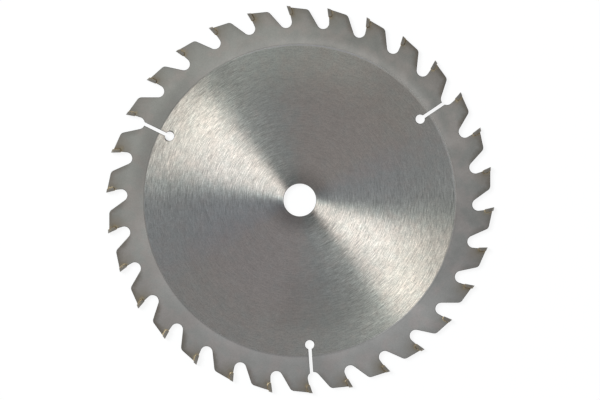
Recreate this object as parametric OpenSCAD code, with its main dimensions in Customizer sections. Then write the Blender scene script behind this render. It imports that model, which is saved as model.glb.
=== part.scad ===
// Carbide-tipped circular saw blade, lying flat.
// The bore's axis is Z and the middle of the plate is Z = 0. The teeth lead counter-clockwise seen from +Z.
// Odd-numbered tips are low and square, even-numbered tips stand higher and have bevelled corners.

/* [Plate] */
// Diameter of the circle that the high cutting edges run on
blade_d = 190; // [170:1:250]
// Diameter of the arbor bore
bore_d = 16; // [10:0.1:30]
// Thickness of the steel plate at its rim
plate_t = 1.6; // [1.2:0.05:2]
// Diameter of the fine-ground face round the bore
ground_d = 152; // [90:1:154]
// Depth of the ground face below the rim on each side
ground_depth = 0.05; // [0.02:0.01:0.15]
// Width of the ramp from the ground face up to the rim
ground_runout = 0.6; // [0.2:0.1:2]

/* [Teeth] */
// Number of teeth, low and high in turn
teeth = 30; // [24:2:36]
// Angle of the first cutting edge, counter-clockwise from +X
first_tooth_angle = 9.9; // [0:0.1:12]
// Lean of the cutting faces ahead of the radius
hook_angle = 15; // [8:1:20]
// Drop of the steel's land below the cutting circle, measured at the cutting edge
land_drop = 0.6; // [0.5:0.05:1]
// Fall of the land behind the cutting edge
land_angle = 10; // [6:1:14]
// Radius between the land and the back of the tooth
back_corner_r = 2.5; // [1:0.1:3.5]
// Lean of the tooth's back from the radius through the next cutting edge
back_angle = 38; // [30:1:42]
// Depth of the gullet below the cutting circle
gullet_depth = 10.8; // [9.5:0.1:13]
// Radius of the gullet's floor
gullet_r = 2.95; // [2.2:0.05:3.4]
// Lean of the steel under the tip from the radius
throat_angle = 8.5; // [2:0.5:12]

/* [Carbide tips] */
// Width of the cut that the tips make
kerf = 2.6; // [2.4:0.05:3.4]
// Length of a tip along its cutting face
tip_l = 4.7; // [4:0.1:5.5]
// Thickness of a tip behind its cutting face
tip_t = 1.7; // [1.4:0.05:2.2]
// Radius at the back of a tip's foot
tip_foot_r = 0.8; // [0.4:0.05:1.2]
// Reach of the tip ahead of the steel under it
tip_overhang = 0.35; // [0.2:0.05:0.6]
// Height of the high cutting edges above the low ones
tip_step = 0.45; // [0.2:0.05:0.6]
// Bevel on each corner of a high tip, measured across the kerf
tip_bevel = 0.7; // [0.3:0.05:0.9]
// Clearance behind the cutting edge
top_clearance = 10; // [6:1:15]
// Clearance of a tip's sides towards the bore
radial_clearance = 1.2; // [0.5:0.1:1.5]
// Clearance of a tip's sides towards its back
tangential_clearance = 2.5; // [1:0.1:3]

/* [Braze] */
// Thickness of the braze between a tip and its seat
braze_t = 0.12; // [0.05:0.01:0.2]
// Width of the braze bead on the plate behind and under a tip
bead_w = 0.6; // [0.3:0.05:0.8]
// Distance that the bead stops short of a tip's side
bead_drop = 0.22; // [0.15:0.01:0.28]
// Length of the braze fillet down the steel under a tip
throat_fillet = 0.6; // [0.3:0.05:1]

/* [Expansion slots] */
// Number of slots, evenly spaced
slots = 3; // [2:1:6]
// Width of a slot
slot_w = 1.6; // [0.8:0.1:2]
// Diameter of the round end of a slot
slot_hole_d = 4.5; // [3:0.1:6]
// Distance of the round end's centre below the cutting circle
slot_depth = 24.2; // [18:0.1:34]
// Number of the first tooth with a slot in its gullet
first_slot_tooth = 3; // [1:1:8]

/* [Hidden] */
$fn = 96;
// Overlap of an arc with the lines that it joins
overlap = 0.002;
// Reach of a cutting shape past the solid that it cuts
margin = 2;
blade_r = blade_d / 2;
pitch = 360 / teeth;
// Height of the braze bead up the overhanging side of a tip
bead_h = (kerf - plate_t) / 2 - bead_drop;

// Turn of a point about the origin, counter-clockwise
function turned(p, a) = [p.x * cos(a) - p.y * sin(a), p.x * sin(a) + p.y * cos(a)];
// Direction at an angle from +X
function heading(a) = [cos(a), sin(a)];
// Point where the line through p along d meets the line through q along e
function meet(p, d, q, e) = p + d * cross(q - p, e) / cross(d, e);

// Points of one tooth, in its own frame: the origin is on the cutting circle at the tooth's cutting edge,
// +X runs back along the circle and +Y runs outwards.
back_dir = heading(hook_angle);
face_dir = heading(hook_angle + 90);
land_start = [0, -land_drop];
land_dir = heading(-land_angle);
// Front end of the seat's floor, where the steel under the tip begins
seat_lip = back_dir * tip_overhang - face_dir * (tip_l + braze_t);
throat_dir = heading(throat_angle + 90);
throat_normal = heading(throat_angle + 180);
// Centre of the gullet's floor, level with the depth and tangent to the steel under the tip
gullet_y = gullet_r - gullet_depth;
gullet_c = meet([0, gullet_y], [1, 0], seat_lip + throat_normal * gullet_r, throat_dir);
// Back of the tooth ahead, tangent to the gullet's floor
back_normal = heading(back_angle);
back_line_dir = heading(back_angle + 90);
// Land of the tooth ahead
function of_tooth_ahead(p) = turned(p + [0, blade_r], pitch) - [0, blade_r];
ahead_land = of_tooth_ahead(land_start);
ahead_land_dir = turned(land_dir, pitch);
ahead_land_normal = turned(land_dir, pitch + 90);
// Centre of the rounded corner between that land and that back
back_corner_c = meet(
    ahead_land - ahead_land_normal * back_corner_r, ahead_land_dir,
    gullet_c - back_normal * (gullet_r + back_corner_r), back_line_dir);

function tip_name(i) = str("carbide_tip_", i < 9 ? "0" : "", i + 1);
function is_high(i) = i % 2 == 1;

// Moves a shape from a tooth's own frame to its place on the blade
module at_tooth(i) {
    rotate(first_tooth_angle - 90 + i * pitch) translate([0, blade_r]) children();
}

// Space between a tooth and the tooth ahead, with everything above that tooth's land
module tooth_gap() {
    throat_top = meet(seat_lip, throat_dir, [0, margin], [1, 0]);
    difference() {
        union() {
            polygon([
                ahead_land - ahead_land_dir * margin,
                back_corner_c + ahead_land_normal * back_corner_r,
                back_corner_c + back_normal * back_corner_r,
                gullet_c - back_normal * gullet_r,
                gullet_c - throat_normal * gullet_r,
                throat_top,
                ahead_land + (ahead_land_normal - ahead_land_dir) * margin
            ]);
            translate(gullet_c) circle(gullet_r + overlap);
        }
        translate(back_corner_c) circle(back_corner_r + overlap);
    }
}

// Side outline of a tip with its foot grown by a gap at the back and below, open at the top
module tip_side(gap) {
    foot_r = tip_foot_r + gap;
    back = tip_t + gap;
    foot = -tip_l - gap;
    rotate(hook_angle) {
        translate([-margin, foot]) square([margin + back - foot_r, margin - foot]);
        translate([-margin, foot + foot_r]) square([margin + back, margin - foot - foot_r]);
        translate([back - foot_r, foot + foot_r]) circle(foot_r);
    }
}

// Slot from the gullet in to its round end, on the radius through the cutting edge
module expansion_slot() {
    translate([-slot_w / 2, -slot_depth]) square([slot_w, slot_depth + gullet_y]);
    translate([0, -slot_depth]) circle(d = slot_hole_d);
}

module plate_outline() {
    difference() {
        circle(blade_r - land_drop);
        circle(d = bore_d);
        for (i = [0:teeth - 1]) at_tooth(i) {
            tooth_gap();
            tip_side(braze_t);
        }
        for (j = [0:slots - 1]) at_tooth(first_slot_tooth - 1 + round(j * teeth / slots)) expansion_slot();
    }
}

// Shallow ground face, as the shape that is taken off the upper side
module ground_face() {
    slope = ground_runout / ground_depth;
    translate([0, 0, plate_t / 2 - ground_depth])
        cylinder(d1 = ground_d, d2 = ground_d + 2 * slope * margin, h = margin);
}

module steel_plate() {
    color([0.55, 0.55, 0.54]) difference() {
        linear_extrude(plate_t, center = true) plate_outline();
        ground_face();
        mirror([0, 0, 1]) ground_face();
    }
}

// One tip in its tooth's frame: its side outline, cut by the grinding of its top, corners, sides and back
module tip_body(high) {
    reach = tip_t + margin;
    top = high ? 0 : -tip_step;
    foot = -tip_l - margin;
    half = kerf / 2;
    foot_half = half + foot * tan(radial_clearance);
    back_half = half - reach * tan(tangential_clearance);
    corner = high ? [[half - tip_bevel, 0], [half, -tip_bevel]] : [[half, 0]];
    right_side = concat(corner, [[foot_half, foot]]);
    left_side = [for (i = [len(right_side) - 1:-1:0]) [-right_side[i].x, right_side[i].y]];
    intersection() {
        linear_extrude(kerf, center = true) intersection() {
            tip_side(0);
            rotate(hook_angle) translate([0, foot]) square([reach, margin - foot]);
        }
        translate([0, top]) rotate(-top_clearance) translate([-margin, 0]) rotate([0, 90, 0])
            linear_extrude(reach + margin) polygon(concat(right_side, left_side));
        rotate(hook_angle) translate([0, margin]) rotate([90, 0, 0]) linear_extrude(margin - foot)
            polygon([[0, -half], [reach, -back_half], [reach, back_half], [0, half]]);
    }
}

module carbide_tip(i) {
    color([0.33, 0.32, 0.31]) at_tooth(i) tip_body(is_high(i));
}

// Bead on the upper side of the plate, along the back, round the foot and under the tip
module braze_bead() {
    section = [[0, 0], [bead_w, 0], [0, bead_h]];
    corner = [tip_t - tip_foot_r, tip_foot_r - tip_l];
    translate([0, 0, plate_t / 2]) rotate(hook_angle) {
        translate([tip_t, margin]) rotate([90, 0, 0]) linear_extrude(margin - corner.y) polygon(section);
        translate([-margin, -tip_l]) rotate([90, 0, 90]) linear_extrude(margin + corner.x)
            mirror([1, 0]) polygon(section);
        translate(corner) rotate(-90) rotate_extrude(angle = 90) translate([tip_foot_r, 0]) polygon(section);
    }
}

// Steel of one tooth before its seat is cut, wide enough to bound the braze
module tooth_crown() {
    width = tip_t + tip_overhang + bead_w + margin;
    crest = meet(seat_lip, throat_dir, land_start, land_dir);
    foot = seat_lip - throat_dir * margin;
    polygon([foot, crest, crest + land_dir * width, foot + [width, 0]]);
}

// Film of braze in the seat, with the fillet where the tip overhangs the steel under it
module braze_film() {
    tip_heel = -face_dir * tip_l;
    intersection() {
        difference() {
            tip_side(braze_t);
            tip_side(0);
        }
        tooth_crown();
    }
    polygon([
        tip_heel,
        seat_lip - throat_dir * throat_fillet,
        seat_lip,
        tip_heel + back_dir * 2 * tip_overhang
    ]);
}

// Braze of one tooth: the film and a bead on each side of the plate
module braze_joint() {
    linear_extrude(plate_t, center = true) braze_film();
    intersection() {
        union() {
            braze_bead();
            mirror([0, 0, 1]) braze_bead();
        }
        linear_extrude(kerf, center = true) tooth_crown();
    }
}

module braze_joints() {
    color([0.72, 0.6, 0.36]) for (i = [0:teeth - 1]) at_tooth(i) braze_joint();
}

steel_plate();
for (i = [0:teeth - 1]) carbide_tip(i);
braze_joints();
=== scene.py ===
"""Looks of a carbide-tipped circular saw blade: its finishes, flowed braze, studio and camera.

The blade lies flat. The bore's axis is Z, the middle of the plate is Z = 0 and lengths are in metres.
"""

import logging
import math
from dataclasses import dataclass
from enum import Enum
from typing import ClassVar, Union

import bpy
from mathutils import Matrix, Vector, noise


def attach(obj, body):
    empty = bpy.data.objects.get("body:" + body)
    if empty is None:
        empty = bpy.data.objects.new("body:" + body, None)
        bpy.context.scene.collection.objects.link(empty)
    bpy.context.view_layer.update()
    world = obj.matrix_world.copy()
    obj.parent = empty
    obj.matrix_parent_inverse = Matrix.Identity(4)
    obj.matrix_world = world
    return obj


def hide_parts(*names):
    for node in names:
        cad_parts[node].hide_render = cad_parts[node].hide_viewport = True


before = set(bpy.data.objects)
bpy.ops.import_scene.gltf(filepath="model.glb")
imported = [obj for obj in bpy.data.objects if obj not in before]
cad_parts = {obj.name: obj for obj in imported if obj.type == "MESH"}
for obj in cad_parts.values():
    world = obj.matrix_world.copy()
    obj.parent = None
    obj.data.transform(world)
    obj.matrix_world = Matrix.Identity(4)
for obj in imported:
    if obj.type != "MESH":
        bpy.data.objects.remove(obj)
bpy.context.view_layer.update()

LOG = logging.getLogger("saw_blade")
MM = 0.001
BODY = "root"

Colour = tuple[float, float, float]
Pair = tuple[float, float]
Socket = bpy.types.NodeSocket
Outputs = bpy.types.bpy_prop_collection
Feed = Union[float, tuple, Vector, Socket]


class Effect(Enum):
    """Surface effects that several finishes share."""

    PLACE = "blade_place"
    TOOTH = "tooth_place"
    STREAKS = "ring_streaks"
    GRAIN = "fine_grain"
    MOTTLE = "broad_mottle"
    EDGE = "worn_edge"


class PlateZone(Enum):
    """Zones of the steel plate, in the order of its material slots."""

    GROUND = 0
    RIM = 1
    CUT = 2


def rgba(colour: Colour) -> tuple[float, float, float, float]:
    """Give a colour its alpha."""
    return (*colour, 1.0)


@dataclass(frozen=True)
class BladeSizes:
    """Sizes of the blade that the finishes follow."""

    cutting_radius: float = 95.0 * MM
    bore_radius: float = 8.0 * MM
    ground_radius: float = 76.0 * MM
    ground_runout: float = 0.6 * MM
    ring_edge: float = 75.95 * MM
    ring_offset: float = 0.75 * MM
    ring_axis: float = math.radians(245.0)
    ring_blur: float = 0.45 * MM
    fan_axis: float = math.radians(149.5)
    fan_count: float = 2.0
    fan_edge: float = 0.3
    fan_heart: float = 0.95
    half_plate: float = 0.8 * MM
    half_ground: float = 0.75 * MM
    first_tooth: float = math.radians(9.9)
    hook: float = math.radians(15.0)
    land_drop: float = 0.6 * MM
    land_angle: float = math.radians(10.0)
    throat_angle: float = math.radians(8.5)
    gullet_depth: float = 10.8 * MM
    gullet_radius: float = 2.95 * MM
    back_angle: float = math.radians(38.0)
    tip_length: float = 4.7 * MM
    tip_thickness: float = 1.7 * MM
    tip_foot_radius: float = 0.8 * MM
    tip_overhang: float = 0.35 * MM
    braze_gap: float = 0.12 * MM
    bead_width: float = 0.6 * MM
    bead_height: float = 0.28 * MM
    throat_fillet: float = 0.6 * MM
    slot_depth: float = 24.2 * MM
    slot_end_radius: float = 2.25 * MM

    @property
    def tips(self) -> list[str]:
        """Name the carbide tips in their order round the blade."""
        return sorted(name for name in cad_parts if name.startswith("carbide_tip_"))

    @property
    def pitch(self) -> float:
        """Give the angle from one tooth to the next."""
        return math.tau / len(self.tips)

    @property
    def rim_start(self) -> float:
        """Give the radius where the ramp ends and the level rim starts."""
        return self.ground_radius + self.ground_runout

    def slot_end(self, tooth: int) -> tuple[float, float, float]:
        """Find the middle of the round end of a tooth's expansion slot."""
        middle = Vector((self.cutting_radius - self.slot_depth, 0.0, 0.0))
        return tuple(Matrix.Rotation(self.first_tooth + tooth * self.pitch, 3, "Z") @ middle)

    @property
    def back_level(self) -> float:
        """Find the back of the tooth ahead, as a distance along its normal in a tooth's frame."""
        lip_drop = self.tip_length + self.braze_gap
        lip_back = self.tip_overhang * math.cos(self.hook) + lip_drop * math.sin(self.hook)
        lip_up = self.tip_overhang * math.sin(self.hook) - lip_drop * math.cos(self.hook)
        wall_back = lip_back - self.gullet_radius * math.cos(self.throat_angle)
        wall_up = lip_up - self.gullet_radius * math.sin(self.throat_angle)
        floor_up = self.gullet_radius - self.gullet_depth
        floor_back = wall_back - (floor_up - wall_up) * math.tan(self.throat_angle)
        reach = floor_back * math.cos(self.back_angle) + floor_up * math.sin(self.back_angle)
        return reach - self.gullet_radius


@dataclass(frozen=True)
class Cloud:
    """Fineness of a cloud of noise: how many finer layers it has and how strong they are."""

    detail: float = 2.0
    rough: float = 0.5
    middle: ClassVar[float] = 0.5


class Graph:
    """Nodes and links of one shader tree."""

    mix_inputs = (0, 6, 7)
    mix_output = 2

    def __init__(self, tree: bpy.types.NodeTree) -> None:
        """Take over a tree and empty it."""
        self.tree = tree
        tree.nodes.clear()

    def add(self, kind: str, feeds: dict | None = None, **settings: object) -> bpy.types.Node:
        """Add one node.

        Args:
            kind: Blender's name for the type of node.
            feeds: What goes into the inputs, by name or number: a value or another node's output.
            settings: Properties of the node.

        Returns:
            The new node.
        """
        node = self.tree.nodes.new(kind)
        for name, value in settings.items():
            setattr(node, name, value)
        for key, value in (feeds or {}).items():
            self.feed(node.inputs[key], value)
        return node

    def feed(self, socket: Socket, value: Feed) -> None:
        """Set an input to a value, or link it to an output.

        Args:
            socket: The input.
            value: The value, or another node's output.
        """
        if isinstance(value, bpy.types.NodeSocket):
            self.tree.links.new(value, socket)
        else:
            socket.default_value = value

    def maths(self, operation: str, *terms: Feed) -> Socket:
        """Join values by one sum of the Math node."""
        return self.add("ShaderNodeMath", dict(enumerate(terms)), operation=operation).outputs[0]

    def times(self, first: Feed, second: Feed) -> Socket:
        """Multiply two values."""
        return self.maths("MULTIPLY", first, second)

    def raised(self, share: Feed, gain: Feed) -> Socket:
        """Give a tone: 1, raised by a gain as far as a share says."""
        return self.maths("MULTIPLY_ADD", share, gain, 1.0)

    def span(self, value: Feed, low: Feed, high: Feed, to_low: Feed = 0.0, to_high: Feed = 1.0) -> Socket:
        """Map a value from one span to another with soft ends.

        Args:
            value: The value to map.
            low: Start of the span that it comes from.
            high: End of that span.
            to_low: Result at the start.
            to_high: Result at the end.

        Returns:
            The mapped value.
        """
        feeds = {"Value": value, "From Min": low, "From Max": high, "To Min": to_low, "To Max": to_high}
        return self.add("ShaderNodeMapRange", feeds, interpolation_type="SMOOTHSTEP").outputs["Result"]

    def between(self, share: Feed, ends: Pair) -> Socket:
        """Give the value at a share of the way between two ends."""
        return self.maths("MULTIPLY_ADD", share, ends[1] - ends[0], ends[0])

    def centred(self, cloud: Feed) -> Socket:
        """Shift a cloud of noise so that its middle is 0."""
        return self.maths("SUBTRACT", cloud, Cloud.middle)

    def facing(self, angle: Feed, axis: float) -> Socket:
        """Give the cosine of the angle between a place and an axis."""
        return self.maths("COSINE", self.maths("SUBTRACT", angle, axis))

    def wave(self, angle: Feed, axis: float, crests: float) -> Socket:
        """Give a wave with so many crests to a turn, one of them at an axis."""
        return self.maths("COSINE", self.times(self.maths("SUBTRACT", angle, axis), crests))

    def along(self, first: Feed, second: Feed, angle: float) -> Socket:
        """Give the reach along a line that leans by an angle from the first direction to the second."""
        return self.maths("MULTIPLY_ADD", first, math.cos(angle), self.times(second, math.sin(angle)))

    def mix(self, factor: Feed, first: Feed, second: Feed, blend: str = "MIX") -> Socket:
        """Blend two colours.

        Args:
            factor: Share of the second colour.
            first: The colour at a factor of 0.
            second: The colour at a factor of 1.
            blend: Blender's name for the way of blending.

        Returns:
            The blended colour.
        """
        feeds = dict(zip(self.mix_inputs, (factor, first, second)))
        node = self.add("ShaderNodeMix", feeds, data_type="RGBA", blend_type=blend, clamp_result=False)
        return node.outputs[self.mix_output]

    def tint(self, factor: Feed, colour: Feed, tint: Feed) -> Socket:
        """Multiply a colour by a tint, as far as a factor says."""
        return self.mix(factor, colour, tint, blend="MULTIPLY")

    def tone(self, colour: Feed, *factors: Feed) -> Socket:
        """Multiply a colour by one value after another.

        Args:
            colour: The colour.
            factors: The values.

        Returns:
            The toned colour.
        """
        result = colour
        for factor in factors:
            feeds = {0: result, "Scale": factor}
            result = self.add("ShaderNodeVectorMath", feeds, operation="SCALE").outputs[0]
        return result

    def noise(self, place: Feed, scale: Feed, cloud: Cloud) -> Socket:
        """Add a cloud of noise.

        Args:
            place: Coordinates that it is drawn in.
            scale: How many clouds there are in a unit of length.
            cloud: Its fineness.

        Returns:
            A value from 0 to 1, mostly near the middle.
        """
        feeds = {"Vector": place, "Scale": scale, "Detail": cloud.detail, "Roughness": cloud.rough}
        return self.add("ShaderNodeTexNoise", feeds).outputs[0]

    def place(self) -> Socket:
        """Give the place on the object, in metres."""
        return self.add("ShaderNodeTexCoord").outputs["Object"]

    def polar(self, place: Feed) -> tuple[Socket, Socket]:
        """Turn a place into its distance from the axis and its angle round it.

        Args:
            place: The place.

        Returns:
            The distance and the angle.
        """
        parts = self.add("ShaderNodeSeparateXYZ", {0: place}).outputs
        square = self.times(parts[0], parts[0])
        radius = self.maths("SQRT", self.maths("MULTIPLY_ADD", parts[1], parts[1], square))
        return radius, self.maths("ARCTAN2", parts[1], parts[0])

    def bump(self, height: Feed, distance: float) -> Socket:
        """Turn a height into a normal."""
        return self.add("ShaderNodeBump", {"Height": height, "Distance": distance}).outputs["Normal"]


class EffectShelf:
    """Shared surface effects, each a node group that is built once."""

    usual_marks = {"Marks per metre": 1500.0, "Marks per turn": 60.0, "Wander": 0.0, "Contrast": 0.1}
    usual_contrast = 0.05
    tone_swing = 4.0
    wander_size = 9.0 * MM
    mark_cloud = Cloud(5.0, 0.62)
    grain_size = 0.3 * MM
    grain_cloud = Cloud(2.0, 0.6)
    mottle_size = 20.0 * MM
    mottle_cloud = Cloud(3.0, 0.55)
    edge_width = 0.15 * MM
    edge_samples = 6
    edge_flat = 0.99
    edge_sharp = 0.8

    def __init__(self, sizes: BladeSizes) -> None:
        """Build all the groups.

        Args:
            sizes: Sizes of the blade.
        """
        self.sizes = sizes
        self.groups: dict[Effect, bpy.types.NodeTree] = {}
        self._build_place()
        self._build_tooth()
        self._build_streaks()
        self._build_cloud(Effect.GRAIN, self.grain_size, self.grain_cloud)
        self._build_cloud(Effect.MOTTLE, self.mottle_size, self.mottle_cloud)
        self._build_edge()

    def use(self, graph: Graph, effect: Effect, feeds: dict | None = None) -> Outputs:
        """Put an effect into a material.

        Args:
            graph: Tree of the material.
            effect: The effect that is wanted.
            feeds: Values of its inputs, by name.

        Returns:
            The outputs that carry the effect.
        """
        return graph.add("ShaderNodeGroup", feeds, node_tree=self.groups[effect]).outputs

    def _start(self, effect: Effect, inputs: dict[str, float]) -> tuple[Graph, Outputs]:
        """Start a group.

        Args:
            effect: The effect that the group makes.
            inputs: Names of its values, with their usual settings.

        Returns:
            The group's graph, and the values that are given to it.
        """
        tree = bpy.data.node_groups.new(effect.value, "ShaderNodeTree")
        for name, value in inputs.items():
            socket = tree.interface.new_socket(name, in_out="INPUT", socket_type="NodeSocketFloat")
            socket.default_value = value
        self.groups[effect] = tree
        graph = Graph(tree)
        return graph, graph.add("NodeGroupInput").outputs

    def _put_out(self, graph: Graph, values: dict[str, Socket]) -> None:
        """Put values out of a group.

        Args:
            graph: The group's graph.
            values: The values, by name.
        """
        for name in values:
            graph.tree.interface.new_socket(name, in_out="OUTPUT", socket_type="NodeSocketFloat")
        graph.add("NodeGroupOutput", values)

    def _tone(self, graph: Graph, given: Outputs, cloud: Socket) -> Socket:
        """Turn a cloud into a tone round 1, by the contrast that is given."""
        return graph.raised(graph.times(graph.centred(cloud), self.tone_swing), given["Contrast"])

    def _build_place(self) -> None:
        """Build the group that tells where a point of the plate is.

        Its level is 1 in the middle of a fan of light and -1 midway between the fans. The edge of the
        grinding lies a little off the middle of the bore and is blurred.
        """
        sizes = self.sizes
        graph, _ = self._start(Effect.PLACE, {})
        radius, angle = graph.polar(graph.place())
        level = graph.wave(angle, sizes.fan_axis, sizes.fan_count)
        leaning = graph.facing(angle, sizes.ring_axis)
        edge = graph.maths("MULTIPLY_ADD", leaning, sizes.ring_offset, sizes.ring_edge)
        inside = graph.maths("SUBTRACT", edge, radius)
        self._put_out(graph, {
            "Radius": radius,
            "Angle": angle,
            "Level": level,
            "Fan": graph.span(level, sizes.fan_edge, sizes.fan_heart),
            "Ground": graph.span(inside, -sizes.ring_blur, sizes.ring_blur),
        })

    def _build_tooth(self) -> None:
        """Build the group that tells where a point is on its tooth.

        It gives the distance from the tip, the depth inside the tip, the distance from the tooth's land
        and back, and a chance value of the tooth.
        """
        sizes = self.sizes
        graph, _ = self._start(Effect.TOOTH, {})
        spot = self.use(graph, Effect.PLACE)
        turns = graph.maths("SUBTRACT", sizes.first_tooth, spot["Angle"])
        turns = graph.maths("DIVIDE", turns, sizes.pitch)
        behind = graph.times(graph.maths("FRACT", turns), sizes.pitch)
        back, up = self._from_edge(graph, spot["Radius"], behind)
        to_back = graph.maths("SUBTRACT", graph.along(back, up, sizes.hook), sizes.tip_thickness)
        to_foot = graph.maths("SUBTRACT", -sizes.tip_length, graph.along(up, back, -sizes.hook))
        past_back = graph.maths("MAXIMUM", to_back, 0.0)
        past_foot = graph.maths("MAXIMUM", to_foot, 0.0)
        square = graph.times(past_back, past_back)
        fall = graph.along(up, back, sizes.land_angle)
        to_land = graph.maths("SUBTRACT", -sizes.land_drop * math.cos(sizes.land_angle), fall)
        ahead = graph.maths("SUBTRACT", behind, sizes.pitch)
        reach = graph.along(*self._from_edge(graph, spot["Radius"], ahead), sizes.back_angle)
        to_rear = graph.maths("SUBTRACT", sizes.back_level, reach)
        tooth = graph.maths("MODULO", graph.maths("FLOOR", turns), float(len(sizes.tips)))
        chance = graph.add("ShaderNodeTexWhiteNoise", {"W": tooth}, noise_dimensions="1D")
        self._put_out(graph, {
            "Distance": graph.maths("SQRT", graph.maths("MULTIPLY_ADD", past_foot, past_foot, square)),
            "Depth": graph.times(graph.maths("MAXIMUM", to_back, to_foot), -1.0),
            "Edge": graph.maths("MINIMUM", to_land, to_rear),
            "Chance": chance.outputs["Value"],
        })

    def _from_edge(self, graph: Graph, radius: Socket, behind: Socket) -> tuple[Socket, Socket]:
        """Give how far a point is behind a cutting edge and above it.

        Args:
            graph: Tree of the group.
            radius: Distance of the point from the middle of the bore.
            behind: Angle of the point behind the cutting edge.

        Returns:
            The two distances.
        """
        level = graph.times(radius, graph.maths("COSINE", behind))
        up = graph.maths("SUBTRACT", level, self.sizes.cutting_radius)
        return graph.times(radius, graph.maths("SINE", behind)), up

    def _build_streaks(self) -> None:
        """Build the group for the fine marks that a grinding wheel leaves round the bore."""
        graph, given = self._start(Effect.STREAKS, self.usual_marks)
        spot = self.use(graph, Effect.PLACE)
        across = given["Marks per metre"]
        turn = graph.maths("DIVIDE", given["Marks per turn"], math.tau)
        feeds = {"Vector": graph.place(), "W": across, "Scale": 1.0 / self.wander_size}
        sway = graph.add("ShaderNodeTexNoise", feeds, noise_dimensions="4D").outputs[0]
        shift = graph.times(graph.centred(sway), given["Wander"])
        parts = {
            "X": graph.times(graph.maths("ADD", spot["Radius"], shift), across),
            "Y": graph.times(graph.maths("COSINE", spot["Angle"]), turn),
            "Z": graph.times(graph.maths("SINE", spot["Angle"]), turn),
        }
        ring = graph.add("ShaderNodeCombineXYZ", parts).outputs[0]
        marks = graph.noise(ring, 1.0, self.mark_cloud)
        self._put_out(graph, {"Tone": self._tone(graph, given, marks), "Height": marks})

    def _build_cloud(self, effect: Effect, size: float, cloud: Cloud) -> None:
        """Build the group for an even grain or for broad, soft changes of tone.

        Args:
            effect: The effect that the group makes.
            size: Usual size of its patches.
            cloud: Fineness of its noise.
        """
        graph, given = self._start(effect, {"Size": size, "Contrast": self.usual_contrast})
        scale = graph.maths("DIVIDE", 1.0, given["Size"])
        height = graph.noise(graph.place(), scale, cloud)
        self._put_out(graph, {"Tone": self._tone(graph, given, height), "Height": height})

    def _build_edge(self) -> None:
        """Build the group that finds the edges of a piece."""
        graph, given = self._start(Effect.EDGE, {"Width": self.edge_width})
        rounded = graph.add("ShaderNodeBevel", {"Radius": given["Width"]}, samples=self.edge_samples)
        flat = graph.add("ShaderNodeNewGeometry").outputs["True Normal"]
        level = graph.add("ShaderNodeVectorMath", {0: rounded.outputs[0], 1: flat}, operation="DOT_PRODUCT")
        mask = graph.span(level.outputs["Value"], self.edge_flat, self.edge_sharp)
        self._put_out(graph, {"Mask": mask})


@dataclass(frozen=True)
class Finish:
    """A finish of bare metal."""

    name: str
    colour: Colour
    roughness: float
    metallic: float = 1.0

    def start(self) -> tuple[bpy.types.Material, Graph, bpy.types.Node]:
        """Start the material of a finish.

        Returns:
            The material, its graph and its shader.
        """
        material = bpy.data.materials.new(self.name)
        material.use_nodes = True
        graph = Graph(material.node_tree)
        feeds = {"Base Color": rgba(self.colour), "Roughness": self.roughness, "Metallic": self.metallic}
        shader = graph.add("ShaderNodeBsdfPrincipled", feeds)
        graph.add("ShaderNodeOutputMaterial", {"Surface": shader.outputs[0]})
        return material, graph, shader


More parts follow.
